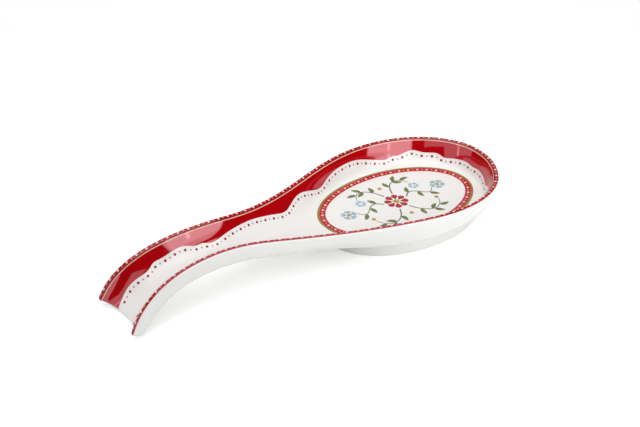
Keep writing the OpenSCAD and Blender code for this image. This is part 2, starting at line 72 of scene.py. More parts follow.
floor_points = np.array([[
    rim[0] + np.dot([nose_run, trough_d], floor_back_shares[i]),
    floor_w / 2 * floor_y_shares[i] if i < flat_rows else keel_w / 2,
    floor_h if i < flat_rows
    else rim[2] - np.dot([rim_h - floor_h, trough_d], trough_shares[i - flat_rows])]
    for i, rim in enumerate(rim_points)])
MIRROR = np.array([1, -1, 1])


def smooth_curve(points, row):
    """Point of the smooth curve drawn by control points, at a place counted in rows."""
    i = min(int(row), len(points) - 2)
    u, v = row - i, 1 - row + i
    before = points[1] * MIRROR if i == 0 else points[i - 1]
    after = points[i + 2] if i + 2 < len(points) else 2 * points[i + 1] - points[i]
    return (v**3 * before + (3 * u**3 - 6 * u**2 + 4) * points[i]
        + (3 * v**3 - 6 * v**2 + 4) * points[i + 1] + u**3 * after) / 6


def bezier(a, b, c, d, t):
    return (1 - t)**3 * a + 3 * (1 - t)**2 * t * b + 3 * (1 - t) * t**2 * c + t**3 * d


def unit(v):
    return v / np.linalg.norm(v)


def turned(degrees):
    return np.array([math.cos(math.radians(degrees)), math.sin(math.radians(degrees))])


# The bowl's section turns into the handle's between two rows past the neck
neck_row, handle_from_row, handle_whole_row, last_row = 6, 6.4, 8.3, 12.8
inner_angles, outer_angles = np.array([[60, 66], [74, 90]])
inner_pulls, outer_pulls = np.array([[[0.5, 0.5], [0.55, 0.6]], [[0.55, 0.5], [0.8, 0.75]]])
rim_line_angle, band_edge_angle = 52, 48
outer_steps, edge_steps, rim_steps, inner_steps = 12, 5, 12, 22
section_count, flat_columns = 257, 12
band_edge = outer_steps + edge_steps


def section_frame(row):
    """Origin, outward and upward directions, run, rise and handle share of a section."""
    p, q = smooth_curve(rim_points, row), smooth_curve(floor_points, row)
    d = p - q
    if row < neck_row:
        out, up = unit(d * [1, 1, 0]), np.array([0, 0, 1])
    else:
        out, up = np.array([0, 1, 0]), unit(d * [1, 0, 1])
    k = min(max((row - handle_from_row) / (handle_whole_row - handle_from_row), 0), 1)
    return q, out, up, d @ out, d @ up, k * k * (3 - 2 * k)


def half_section(row):
    """Half a section from the underside round the rim to the edge of the floor."""
    q, out, up, run, rise, k = section_frame(row)
    centre = np.array([run, rise]) - rim_r * turned(rim_line_angle)
    outer, inner = outer_angles @ [1 - k, k], inner_angles @ [1 - k, k]
    a, d = centre + rim_r * turned(outer - 90), np.array([0, -floor_t])
    pull = [1 - k, k] @ outer_pulls
    b, c = a - pull[0] * (a[1] - d[1]) * turned(outer), d + [pull[1] * a[0], 0]
    line = [bezier(a, b, c, d, 1 - i / outer_steps) for i in range(outer_steps + 1)]
    line += [centre + rim_r * turned(outer - 90 + (band_edge_angle + 90 - outer) * i / edge_steps)
        for i in range(1, edge_steps)]
    over_rim = 90 + inner - band_edge_angle
    line += [centre + rim_r * turned(band_edge_angle + over_rim * i / rim_steps)
        for i in range(rim_steps)]
    a, pull = centre + rim_r * turned(90 + inner), [1 - k, k] @ inner_pulls
    b = a - pull[0] * a[1] / math.sin(math.radians(inner)) * turned(inner)
    c, d = np.array([pull[1] * a[0], 0]), np.zeros(2)
    line += [bezier(a, b, c, d, i / inner_steps) for i in range(inner_steps + 1)]
    return np.array([q + h * out + v * up for h, v in line])


rows = np.linspace(0, last_row, section_count)
halves = [half_section(row) for row in rows]
rings = []
for half in halves:
    far, near = half[::-1], half * MIRROR
    floor_line = np.linspace(near[-1], half[-1], flat_columns + 2)[1:-1]
    under_line = np.linspace(half[0], near[0], flat_columns + 2)[1:-1]
    rings.append(np.vstack([near, floor_line, far, under_line]))

# The tip is rounded off all round before its flat end
tip_angles = (15, 30, 45, 60, 75, 90)
tip_out, tip_up = section_frame(last_row)[1:3]
tip_forward, tip_ring = np.cross(tip_up, tip_out), rings[-1]
tip_way = np.roll(tip_ring, -1, axis=0) - np.roll(tip_ring, 1, axis=0)
tip_inward = np.cross(tip_forward, tip_way)
tip_inward /= np.linalg.norm(tip_inward, axis=1)[:, None]
for angle in tip_angles:
    inward_share, forward_share = 1 - turned(angle)[0], turned(angle)[1]
    rings.append(tip_ring
        + tip_round * (forward_share * tip_forward + inward_share * tip_inward))

merge_gap = 0.002


def add_piece(name, points, faces, material):
    """A mesh from points in millimetres, smooth, with its faces turned outwards."""
    bm = bmesh.new()
    made = [bm.verts.new(Vector(p) * MM) for p in points]
    for face in faces:
        bm.faces.new([made[i] for i in face])
    bmesh.ops.remove_doubles(bm, verts=bm.verts, dist=merge_gap * MM)
    bmesh.ops.recalc_face_normals(bm, faces=bm.faces)
    mesh = bpy.data.meshes.new(name)
    bm.to_mesh(mesh)
    bm.free()
    mesh.shade_smooth()
    mesh.materials.append(material)
    piece = bpy.data.objects.new(name, mesh)
    bpy.context.scene.collection.objects.link(piece)
    return piece


def ring_faces(count, n):
    """Faces between rings of n points each, with a cap on either end."""
    faces = [(i * n + j, (i + 1) * n + j, (i + 1) * n + (j + 1) % n, i * n + (j + 1) % n)
        for i in range(count - 1) for j in range(n)]
    return faces + [tuple(range(n)), tuple(range((count - 1) * n, count * n))]


def shared_node(tree, kind, place, **settings):
    """A node of that kind in a tree, with its settings and input values."""
    node = tree.nodes.new(kind)
    node.location = place
    for key, value in settings.items():
        if key in node.inputs:
            node.inputs[key].default_value = value
        else:
            setattr(node, key, value)
    return node


# Fired glaze, shared by the body and every print: a faint cloudiness of the colour,
# a slightly uneven gloss and a soft ripple of the surface
fired_glaze = bpy.data.node_groups.new("fired_glaze", "ShaderNodeTree")
for name, kind, default in (("Colour", "NodeSocketColor", (1, 1, 1, 1)),
        ("Cloudy Colour", "NodeSocketColor", (1, 1, 1, 1)), ("Cloud Scale", "NodeSocketFloat", 60),
        ("Ripple", "NodeSocketFloat", 0.2), ("Gloss Low", "NodeSocketFloat", 0.05),
        ("Gloss High", "NodeSocketFloat", 0.12)):
    fired_glaze.interface.new_socket(name, in_out="INPUT", socket_type=kind).default_value = default
for name, kind in (("Colour", "NodeSocketColor"), ("Roughness", "NodeSocketFloat"),
        ("Normal", "NodeSocketVector")):
    fired_glaze.interface.new_socket(name, in_out="OUTPUT", socket_type=kind)
given = shared_node(fired_glaze, "NodeGroupInput", (-900, 0))
on_piece = shared_node(fired_glaze, "ShaderNodeTexCoord", (-900, -300))
cloud = shared_node(fired_glaze, "ShaderNodeTexNoise", (-650, 150), Detail=5, Roughness=0.6)
spread = shared_node(fired_glaze, "ShaderNodeMapRange", (-450, 150))
spread.inputs["From Min"].default_value, spread.inputs["From Max"].default_value = 0.35, 0.65
tint = shared_node(fired_glaze, "ShaderNodeMix", (-250, 150), data_type="RGBA")
breath = shared_node(fired_glaze, "ShaderNodeTexNoise", (-650, -150), Scale=320, Detail=3)
gloss = shared_node(fired_glaze, "ShaderNodeMapRange", (-250, -150))
ripple = shared_node(fired_glaze, "ShaderNodeTexNoise", (-650, -450), Scale=45, Detail=1)
bump = shared_node(fired_glaze, "ShaderNodeBump", (-250, -450), Distance=0.0004)
result = shared_node(fired_glaze, "NodeGroupOutput", (0, 0))
link = fired_glaze.links.new
for texture in (cloud, breath, ripple):
    link(on_piece.outputs["Object"], texture.inputs["Vector"])
link(given.outputs["Cloud Scale"], cloud.inputs["Scale"])
link(cloud.outputs["Fac"], spread.inputs["Value"])
link(spread.outputs["Result"], tint.inputs["Factor"])
link(given.outputs["Colour"], tint.inputs["A"])
link(given.outputs["Cloudy Colour"], tint.inputs["B"])
link(breath.outputs["Fac"], gloss.inputs["Value"])
link(given.outputs["Gloss Low"], gloss.inputs["To Min"])
link(given.outputs["Gloss High"], gloss.inputs["To Max"])
link(ripple.outputs["Fac"], bump.inputs["Height"])
link(given.outputs["Ripple"], bump.inputs["Strength"])
link(tint.outputs["Result"], result.inputs["Colour"])
link(gloss.outputs["Result"], result.inputs["Roughness"])
link(bump.outputs["Normal"], result.inputs["Normal"])


def glazed(name, colour, cloudy, cloud_scale=60, ripple=0.2, gloss=(0.05, 0.12), ior=1.5,
        sheen=(1, 1, 1)):
    """Material of fired glaze in a colour, with a cloudy second colour."""
    material = bpy.data.materials.new(name)
    material.use_nodes = True
    tree = material.node_tree
    shader = tree.nodes["Principled BSDF"]
    shader.inputs["IOR"].default_value = ior
    shader.inputs["Specular Tint"].default_value = (*sheen, 1)
    effect = tree.nodes.new("ShaderNodeGroup")
    effect.node_tree, effect.location = fired_glaze, (-300, 200)
    values = {"Colour": (*colour, 1), "Cloudy Colour": (*cloudy, 1), "Cloud Scale": cloud_scale,
        "Ripple": ripple, "Gloss Low": gloss[0], "Gloss High": gloss[1]}
    for key, value in values.items():
        effect.inputs[key].default_value = value
    tree.links.new(effect.outputs["Colour"], shader.inputs["Base Color"])
    tree.links.new(effect.outputs["Roughness"], shader.inputs["Roughness"])
    tree.links.new(effect.outputs["Normal"], shader.inputs["Normal"])
    return material


white_glaze = glazed("white_porcelain_glaze", (0.89, 0.885, 0.86), (0.87, 0.865, 0.84),
    cloud_scale=25, ripple=0.12, gloss=(0.06, 0.11))
body = add_piece("porcelain_body", np.vstack(rings), ring_faces(len(rings), len(rings[0])),
    white_glaze)
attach(body, "root")
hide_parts("bowl_wall", "bowl_floor", "handle")

# Foot ring: a low oval wall cast in one with the bowl, glazed white like the body. It
# stands on its flat rim and runs into the underside with a small hollow fillet.
foot_l, foot_w, foot_t, foot_flare, foot_reach, foot_r = 116.6, 78, 4.4, 2.2, 2.3, 0.8
foot_fillet, foot_sides, foot_steps, sunk = 1.4, 160, 14, 0.7
foot_edge_angles = (0, 22.5, 45, 67.5, 90)
flare_power, fillet_power, closeness = 2, 7, 1.5
foot_x = smooth_curve(floor_points, 0)[0] + foot_reach - foot_l / 2
body_mesh = bmesh.new()
body_mesh.from_mesh(body.data)
body_tree = BVHTree.FromBMesh(body_mesh)
body_mesh.free()


def under_height(x, y):
    """Height of the underside over a place on the table, in millimetres."""
    hit = body_tree.ray_cast(Vector((x, y, 0)) * MM, Vector((0, 0, 1)))
    return hit[0].z / MM


def foot_place(out, angle):
    """Place on the table at a distance outside the foot's outer edge."""
    c, s = turned(angle)
    return foot_x + (foot_l / 2 + out) * c, (foot_w / 2 + out) * s


# Each side rises from its rounded lower edge, leans outwards and ends in the fillet,
# whose points lie closer together towards the bowl
foot_rings = []
for i in range(foot_sides):
    angle = 360 * i / foot_sides
    ring = []
    for side, base, flare in ((1, 0, foot_flare), (-1, -foot_t, 0)):
        line = [(base - side * foot_r * (1 - turned(a)[1]), foot_r * (1 - turned(a)[0]))
            for a in foot_edge_angles]
        for k in range(1, foot_steps + 1):
            t = k / foot_steps
            out = base + side * (flare * t**flare_power + foot_fillet * t**fillet_power)
            top = under_height(*foot_place(out, angle))
            line.append((out, foot_r + (top - foot_r) * (1 - (1 - t)**closeness)))
        line.append((line[-1][0], line[-1][1] + sunk))
        ring += line[::side]
    foot_rings.append([(*foot_place(out, angle), z) for out, z in ring])


def loop_faces(count, n):
    """Faces of a closed loop of rings of n points each."""
    return [(i * n + j, (i + 1) % count * n + j, (i + 1) % count * n + (j + 1) % n,
        i * n + (j + 1) % n) for i in range(count) for j in range(n)]


foot = add_piece("foot_ring_wall", np.vstack(foot_rings),
    loop_faces(foot_sides, len(foot_rings[0])), white_glaze)
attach(foot, "root")
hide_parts("foot_ring")

# Rim band: a red transfer fired over the rounded rim all the way round, from one
# corner of the tip to the other. It has a row of white and pink enamel dots.
band_w, print_low, print_high = 3.1, 0.02, 0.06
print_edge_angle, tip_print_angles = math.radians(50), tip_angles[:4]


def running(points):
    steps = np.linalg.norm(np.diff(points, axis=0), axis=1)
    return np.concatenate([[0], np.cumsum(steps)])


walls = [half[band_edge:] for half in halves]
wall_runs = [running(wall) for wall in walls]
rim_run = running([smooth_curve(rim_points, row) for row in rows])
rim_half_l = rim_run[-1]
far_wall = 2 * len(halves[0]) + flat_columns - 1 - np.arange(band_edge, len(halves[0]))
wall_inward = tip_inward[far_wall]
past_the_end = rim_half_l + tip_round * np.radians(tip_print_angles)


def glaze_point(along, depth):
    """Point of the glaze, by its way along the rim from the end of the bowl and its
    depth under the band's outer edge, both measured on the surface."""
    if along < 0:
        return glaze_point(-along, depth) * MIRROR
    station = np.interp(along, rim_run, np.arange(len(rows)))
    i = min(int(station), len(rows) - 2)
    ends = [np.array([np.interp(depth, wall_runs[k], walls[k][:, axis]) for axis in range(3)])
        for k in (i, i + 1)]
    turn = max(along - rim_half_l, 0) / tip_round
    inward = np.array([np.interp(depth, wall_runs[-1], wall_inward[:, axis]) for axis in range(3)])
    return ends[0] + (station - i) * (ends[1] - ends[0]) \
        + tip_round * (math.sin(turn) * tip_forward + (1 - math.cos(turn)) * inward)


def off_glaze(along, depth):
    """Direction straight off the glaze."""
    probe, tip_probe = rim_r / 4, 0.1
    step = tip_probe if abs(along) > rim_half_l - probe else probe
    return unit(np.cross(glaze_point(along + step, depth) - glaze_point(along - step, depth),
        glaze_point(along, depth + probe) - glaze_point(along, depth - min(depth, probe))))


def laid_print(name, lines, material):
    """A thin print that lies on the glaze, from cross lines of (along, depth) places."""
    made = []
    for line in lines:
        on_glaze = np.array([glaze_point(*place) for place in line])
        lift = np.array([off_glaze(*place) for place in line])
        made.append(np.vstack([on_glaze + print_low * lift, (on_glaze + print_high * lift)[::-1]]))
    piece = add_piece(name, np.vstack(made), ring_faces(len(made), len(made[0])), material)
    piece.data.set_sharp_from_angle(angle=print_edge_angle)
    return piece


def both_halves(half_lines):
    mirrored = [[(-along, depth) for along, depth in line] for line in half_lines[:0:-1]]
    return mirrored + half_lines


band_red = glazed("fired_red_band", (0.4, 0.004, 0.01), (0.34, 0.003, 0.008),
    cloud_scale=140, ripple=0.15)
band_columns = 7
print_run = np.concatenate([rim_run, past_the_end])
band = laid_print("rim_band_print", both_halves([[(along, band_w * j / band_columns)
    for j in range(band_columns + 1)] for along in print_run]), band_red)
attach(band, "root")
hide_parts("rim_band")

# Rim lines: a thin dark line and a cream-gold line, two narrow transfers fired side by
# side under the band all the way round
dark_line_w, cream_line_w = 0.45, 0.6
dark_line_bottom = band_w + dark_line_w
border_top = dark_line_bottom + cream_line_w


def line_under_rim(name, top, bottom, material):
    return laid_print(name, both_halves([[(along, top), (along, (top + bottom) / 2),
        (along, bottom)] for along in print_run]), material)


dark_olive = glazed("fired_dark_olive", (0.11, 0.045, 0.02), (0.17, 0.08, 0.03),
    cloud_scale=300)
dark_line = line_under_rim("rim_dark_line_print", band_w, dark_line_bottom, dark_olive)
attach(dark_line, "root")
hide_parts("rim_dark_line")
cream = glazed("fired_cream", (0.93, 0.56, 0.48), (0.86, 0.48, 0.38), cloud_scale=300)
cream_line = line_under_rim("rim_cream_line_print", dark_line_bottom, border_top, cream)
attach(cream_line, "root")
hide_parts("rim_cream_line")

# Border: one broad deep red transfer with a scalloped lower edge, fired inside the rim
# from one corner of the tip round the bowl to the other
border_d, scallop_steps, border_columns = 15.1, 12, 14
# Places along half the rim and depths of the scalloped edge, as shares of the border's
scallop_shares = [
    [0, 0.98], [0.018, 0.85], [0.062, 0.94], [0.081, 1.05], [0.096, 0.76], [0.132, 0.91],
    [0.157, 0.62], [0.189, 0.98], [0.204, 0.88], [0.218, 1.04], [0.23, 1.02], [0.275, 0.8],
    [0.31, 0.57], [0.399, 0.66], [0.422, 1.22], [0.494, 0.37], [0.539, 1.06], [0.573, 0.8],
    [0.601, 0.67], [0.644, 0.52], [0.707, 0.75], [0.744, 1.09], [0.762, 0.81], [0.78, 0.95],
    [0.803, 0.6], [0.853, 0.83], [0.874, 0.7], [0.892, 1.02], [0.938, 0.82], [1, 1.05]]
scallop_points = np.array([[share[1] * border_d, share[0] * rim_half_l, 0]
    for share in scallop_shares])
scallop_edge = [smooth_curve(scallop_points, i / scallop_steps)[1::-1]
    for i in range(scallop_steps * (len(scallop_points) - 1) + 1)]
border_edge = scallop_edge + [(along, scallop_edge[-1][1]) for along in past_the_end]
border_red = glazed("fired_deep_red_border", (0.48, 0.0005, 0.004), (0.43, 0.0005, 0.003),
    cloud_scale=70, ripple=0.15, gloss=(0.03, 0.07), ior=2.1, sheen=(1, 0.66, 0.72))
border = laid_print("scalloped_border_print", both_halves([[
    (along, border_top + (depth - border_top) * j / border_columns)
    for j in range(border_columns + 1)] for along, depth in border_edge]), border_red)
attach(border, "root")
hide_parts("scalloped_border")

# Enamel dots: printed rows of small round dots, slightly domed, at even steps on the
# band. The white ones are larger than the pink ones between them.
dot_sides = 14
dots_tree = bpy.data.node_groups.new("enamel_dot_row", "GeometryNodeTree")
for name, kind in (("Geometry", "NodeSocketGeometry"), ("Pitch", "NodeSocketFloat"),
        ("First", "NodeSocketFloat"), ("Last Room", "NodeSocketFloat"),
        ("Dot Diameter", "NodeSocketFloat"), ("Low", "NodeSocketFloat"),
        ("High", "NodeSocketFloat"), ("Glaze", "NodeSocketObject"),
        ("Enamel", "NodeSocketMaterial")):
    dots_tree.interface.new_socket(name, in_out="INPUT", socket_type=kind)
dots_tree.interface.new_socket("Geometry", in_out="OUTPUT", socket_type="NodeSocketGeometry")
link = dots_tree.links.new
given = shared_node(dots_tree, "NodeGroupInput", (-1600, 0))
length = shared_node(dots_tree, "GeometryNodeCurveLength", (-1400, 200))
room = shared_node(dots_tree, "ShaderNodeMath", (-1200, 200), operation="SUBTRACT")
stretch = shared_node(dots_tree, "ShaderNodeMath", (-1050, 200), operation="SUBTRACT")
share = shared_node(dots_tree, "ShaderNodeMath", (-900, 200), operation="DIVIDE")
whole = shared_node(dots_tree, "ShaderNodeMath", (-750, 200), operation="FLOOR")
count = shared_node(dots_tree, "ShaderNodeMath", (-600, 200), operation="ADD")
count.inputs[1].default_value = 1
points = shared_node(dots_tree, "GeometryNodePoints", (-450, 200))
index = shared_node(dots_tree, "GeometryNodeInputIndex", (-1200, -100))
way = shared_node(dots_tree, "ShaderNodeMath", (-1050, -100), operation="MULTIPLY_ADD")
sample = shared_node(dots_tree, "GeometryNodeSampleCurve", (-800, -100), mode="LENGTH")
body_in = shared_node(dots_tree, "GeometryNodeObjectInfo", (-1050, -400))
normal = shared_node(dots_tree, "GeometryNodeInputNormal", (-800, -600))
normal_at = shared_node(dots_tree, "GeometryNodeSampleNearestSurface", (-550, -300),
    data_type="FLOAT_VECTOR")
turn = shared_node(dots_tree, "FunctionNodeAlignRotationToVector", (-300, -300), axis="Z")
radius = shared_node(dots_tree, "ShaderNodeMath", (-800, -800), operation="MULTIPLY")
radius.inputs[1].default_value = 0.5
dot = shared_node(dots_tree, "GeometryNodeMeshCylinder", (-550, -700), fill_type="TRIANGLE_FAN")
dot.inputs["Vertices"].default_value = dot_sides
upper = shared_node(dots_tree, "GeometryNodeInputPosition", (-550, -1000))
upper_z = shared_node(dots_tree, "ShaderNodeSeparateXYZ", (-400, -1000))
is_upper = shared_node(dots_tree, "FunctionNodeCompare", (-250, -1000),
    data_type="FLOAT", operation="GREATER_THAN")
mark = shared_node(dots_tree, "GeometryNodeStoreNamedAttribute", (-50, -700),
    data_type="FLOAT", domain="POINT")
mark.inputs["Name"].default_value = "upper"
copies = shared_node(dots_tree, "GeometryNodeInstanceOnPoints", (150, 100))
real = shared_node(dots_tree, "GeometryNodeRealizeInstances", (350, 100))
here = shared_node(dots_tree, "GeometryNodeInputPosition", (150, -700))
on_body = shared_node(dots_tree, "GeometryNodeProximity", (350, -500), target_element="FACES")
off_body = shared_node(dots_tree, "GeometryNodeSampleNearestSurface", (350, -750),
    data_type="FLOAT_VECTOR")
marked = shared_node(dots_tree, "GeometryNodeInputNamedAttribute", (350, -1000),
    data_type="FLOAT")
marked.inputs["Name"].default_value = "upper"
height = shared_node(dots_tree, "ShaderNodeMapRange", (550, -900))
lift = shared_node(dots_tree, "ShaderNodeVectorMath", (750, -700), operation="SCALE")
laid = shared_node(dots_tree, "ShaderNodeVectorMath", (900, -500), operation="ADD")
lay = shared_node(dots_tree, "GeometryNodeSetPosition", (1050, 100))
smooth = shared_node(dots_tree, "GeometryNodeSetShadeSmooth", (1250, 100), domain="FACE")
paint = shared_node(dots_tree, "GeometryNodeSetMaterial", (1450, 100))
result = shared_node(dots_tree, "NodeGroupOutput", (1650, 100))
link(given.outputs["Geometry"], length.inputs["Curve"])
link(length.outputs["Length"], room.inputs[0])
link(given.outputs["First"], room.inputs[1])
link(room.outputs[0], stretch.inputs[0])
link(given.outputs["Last Room"], stretch.inputs[1])
link(stretch.outputs[0], share.inputs[0])
link(given.outputs["Pitch"], share.inputs[1])
link(share.outputs[0], whole.inputs[0])
link(whole.outputs[0], count.inputs[0])
link(count.outputs[0], points.inputs["Count"])
link(index.outputs["Index"], way.inputs[0])
link(given.outputs["Pitch"], way.inputs[1])
link(given.outputs["First"], way.inputs[2])
link(given.outputs["Geometry"], sample.inputs["Curves"])
link(way.outputs[0], sample.inputs["Length"])
link(sample.outputs["Position"], points.inputs["Position"])
link(given.outputs["Glaze"], body_in.inputs["Object"])
for nearest, where in ((normal_at, sample.outputs["Position"]), (off_body, here.outputs[0])):
    link(body_in.outputs["Geometry"], nearest.inputs["Mesh"])
    link(normal.outputs["Normal"], nearest.inputs["Value"])
    link(where, nearest.inputs["Sample Position"])
link(normal_at.outputs["Value"], turn.inputs["Vector"])
link(given.outputs["Dot Diameter"], radius.inputs[0])
link(radius.outputs[0], dot.inputs["Radius"])
link(radius.outputs[0], dot.inputs["Depth"])
link(upper.outputs[0], upper_z.inputs[0])
link(upper_z.outputs["Z"], is_upper.inputs["A"])
link(dot.outputs["Mesh"], mark.inputs["Geometry"])
link(is_upper.outputs[0], mark.inputs["Value"])
link(points.outputs[0], copies.inputs["Points"])
link(mark.outputs[0], copies.inputs["Instance"])
link(turn.outputs[0], copies.inputs["Rotation"])
link(copies.outputs[0], real.inputs[0])
link(body_in.outputs["Geometry"], on_body.inputs[0])
link(here.outputs[0], on_body.inputs["Sample Position"])
link(marked.outputs["Attribute"], height.inputs["Value"])
link(given.outputs["Low"], height.inputs["To Min"])
link(given.outputs["High"], height.inputs["To Max"])
link(off_body.outputs["Value"], lift.inputs[0])
link(height.outputs["Result"], lift.inputs["Scale"])
link(on_body.outputs["Position"], laid.inputs[0])
link(lift.outputs[0], laid.inputs[1])
link(real.outputs[0], lay.inputs["Geometry"])
link(laid.outputs[0], lay.inputs["Position"])
link(lay.outputs[0], smooth.inputs["Geometry"])
link(smooth.outputs[0], paint.inputs["Geometry"])
link(given.outputs["Enamel"], paint.inputs["Material"])
link(paint.outputs[0], result.inputs[0])


def dot_row(name, path, pitch, first, last_room, dot_d, low, high, material, closed=False):
    """A row of dots at even steps along a path on the glaze, in millimetres."""
    curve_data = bpy.data.curves.new(name, "CURVE")
    curve_data.dimensions = "3D"
    spline = curve_data.splines.new("POLY")
    spline.points.add(len(path) - 1)
    for point, p in zip(spline.points, path):
        point.co = (*(np.array(p) * MM), 1)
    spline.use_cyclic_u = closed
    guide = bpy.data.objects.new(name + "_guide", curve_data)
    bpy.context.scene.collection.objects.link(guide)
    row = guide.modifiers.new("row", "NODES")
    row.node_group = dots_tree
    values = {"Pitch": pitch * MM, "First": first * MM, "Last Room": last_room * MM,
        "Dot Diameter": dot_d * MM, "Low": low * MM, "High": high * MM, "Glaze": body,
        "Enamel": material}
    for socket in dots_tree.interface.items_tree:
        if socket.item_type == "SOCKET" and socket.name in values:
            row[socket.identifier] = values[socket.name]
    shown = guide.evaluated_get(bpy.context.evaluated_depsgraph_get())
    mesh = bpy.data.meshes.new_from_object(shown)
    mesh.set_sharp_from_angle(angle=print_edge_angle)
    piece = bpy.data.objects.new(name, mesh)
    bpy.context.scene.collection.objects.link(piece)
    bpy.data.objects.remove(guide)
    return piece


def first_dot(line_l, pitch, offset, room):
    """Way to the first dot of a row that lies evenly about the middle of its line."""
    return (line_l / 2 + offset - room) % pitch + room


rim_pitch, rim_dot_d, rim_small_dot_d, rim_dot_share = 7.3, 1.5, 1.1, 0.54
dot_sunk, dot_rise = 0.02, 0.06
dot_low, dot_high = print_high - dot_sunk, print_high + dot_rise
rim_dot_line = [glaze_point(along, rim_dot_share * band_w)
    for along in np.concatenate([-rim_run[:0:-1], rim_run])]
rim_line_l = running(rim_dot_line)[-1]
enamel_white = glazed("white_enamel_dots", (0.86, 0.76, 0.73), (0.8, 0.66, 0.63), cloud_scale=500)
enamel_pink = glazed("pink_enamel_dots", (0.74, 0.32, 0.33), (0.66, 0.22, 0.23), cloud_scale=500)
for name, node, offset, dot_d, material, finish in (
        ("rim_white_dots", "rim_large_dots", rim_pitch / 2, rim_dot_d, enamel_white, "print_white"),
        ("rim_pink_dots", "rim_small_dots", 0, rim_small_dot_d, enamel_pink, "print_pink")):
    first = first_dot(rim_line_l, rim_pitch, offset, rim_dot_d)
    row = dot_row(name, rim_dot_line, rim_pitch, first, rim_dot_d, dot_d, dot_low, dot_high,
        material)
    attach(row, "root")
    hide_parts(node)

# Lace dots: a row of small fired dots on the white glaze that keeps an even distance
# from the scalloped edge, dark red ones with small grey-pink ones between them
lace_gap, lace_pitch, lace_dot_d, lace_small_dot_d = 2.6, 7.2, 1.75, 1.15
lace_half = []
for i, place in enumerate(scallop_edge):
    way = scallop_edge[min(i + 1, len(scallop_edge) - 1)] - scallop_edge[max(i - 1, 0)]
    if i == 0:
        way = way * [1, 0]
    lace_half.append(place + lace_gap * unit(np.array([-way[1], way[0]])))
lace_line = [glaze_point(*place) for place in
    [place * [-1, 1] for place in lace_half[:0:-1]] + lace_half]
lace_l = running(lace_line)[-1]
lace_red = glazed("fired_dark_red_dots", (0.36, 0.012, 0.02), (0.3, 0.006, 0.012),
    cloud_scale=400)
lace_pink = glazed("fired_grey_pink_dots", (0.52, 0.27, 0.27), (0.45, 0.2, 0.21),
    cloud_scale=400)
for name, node, offset, dot_d, material, finish in (
        ("lace_red_dots", "lace_large_dots", lace_pitch / 2, lace_dot_d, lace_red, "lace_dark_red"),
        ("lace_pink_dots", "lace_small_dots", 0, lace_small_dot_d, lace_pink,
            "lace_grey_pink")):
    first = first_dot(lace_l, lace_pitch, offset, lace_dot_d)
    row = dot_row(name, lace_line, lace_pitch, first, lace_dot_d, dot_d, 0, print_high, material)
    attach(row, "root")
    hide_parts(node)

# Medallion: an oval frame fired on the flat floor of the bowl, an olive line round a red
# band with white and pink enamel dots
olive_line_w, medallion_band_w, medallion_dots = 1.5, 4.1, 44
medallion_dot_d, medallion_small_dot_d, oval_sides = 1.7, 1.2, 240
medallion_hw = floor_w / 2 - medallion_margin
medallion_x = smooth_curve(floor_points, 0)[0] - medallion_margin - medallion_l / 2


def oval(l, hw):
    return np.array([[medallion_x + l / 2 * c, hw * s, floor_h] for c, s in
        (turned(360 * i / oval_sides) for i in range(oval_sides))])


def flat_oval_line(name, l, hw, w, material):
    """A thin oval line printed on the flat floor."""
    rise = np.array([0, 0, 1])
    outer, inner = oval(l, hw), oval(l - 2 * w, hw - w)
    loops = [outer + print_low * rise, inner + print_low * rise, inner + print_high * rise,
        outer + print_high * rise]
    piece = add_piece(name, np.stack(loops, axis=1).reshape(-1, 3),
        loop_faces(oval_sides, len(loops)), material)
    piece.data.set_sharp_from_angle(angle=print_edge_angle)
    return piece


olive = glazed("fired_olive", (0.235, 0.2, 0.045), (0.3, 0.24, 0.06), cloud_scale=250)
olive_line = flat_oval_line("medallion_olive_print", medallion_l, medallion_hw, olive_line_w, olive)
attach(olive_line, "root")
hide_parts("medallion_olive_line")
medallion_band_l, medallion_band_hw = medallion_l - 2 * olive_line_w, medallion_hw - olive_line_w
medallion_red = glazed("fired_medallion_red", (0.52, 0.02, 0.025), (0.46, 0.015, 0.02),
    cloud_scale=140, ripple=0.15)
red_oval = flat_oval_line("medallion_red_print", medallion_band_l, medallion_band_hw,
    medallion_band_w, medallion_red)
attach(red_oval, "root")
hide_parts("medallion_red_band")
dot_oval = oval(medallion_band_l - medallion_band_w, medallion_band_hw - medallion_band_w / 2)
medallion_pitch = running(np.vstack([dot_oval, dot_oval[:1]]))[-1] / medallion_dots
for name, node, first_share, dot_d, material, finish in (
        ("medallion_white_dots", "medallion_large_dots", 0, medallion_dot_d, enamel_white,
            "print_white"),
        ("medallion_pink_dots", "medallion_small_dots", 0.5, medallion_small_dot_d,
            enamel_pink, "print_pink")):
    row = dot_row(name, dot_oval, medallion_pitch, first_share * medallion_pitch,
        medallion_pitch * (1 - first_share) / 2, dot_d, dot_low, dot_high, material, closed=True)
    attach(row, "root")
    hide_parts(node)

# Flower spray: a painted transfer on the floor, inside the medallion. A rosette stands
# in its middle, with leafy stems, blossoms and buds to each side, mirrored.
spray_l, spray_w, stem_w, stem_taper, leaf_l, leaf_w = 86, 47, 0.9, 0.45, 7, 3
leaf_bend, leaf_widest, leaf_root_share = 30, 0.42, 0.4
rosette_d, rosette_middle_d, blossom_d, small_blossom_d, bud_d = 17, 4.4, 11, 7.5, 3
blade_columns, blade_steps = np.array([-1, -0.6, -0.2, 0.2, 0.6, 1]), 14
# A blade keeps its least half width at its tips, so that they aren't points
blade_least, blade_fullness, stem_steps, stem_probe = 0.02, 0.75, 24, 0.02
# Share of a painted line's half width that has its full colour
line_core = 0.4


def spray_place(share):
    return np.array([share[0] * spray_l / 2, share[1] * spray_w / 2])


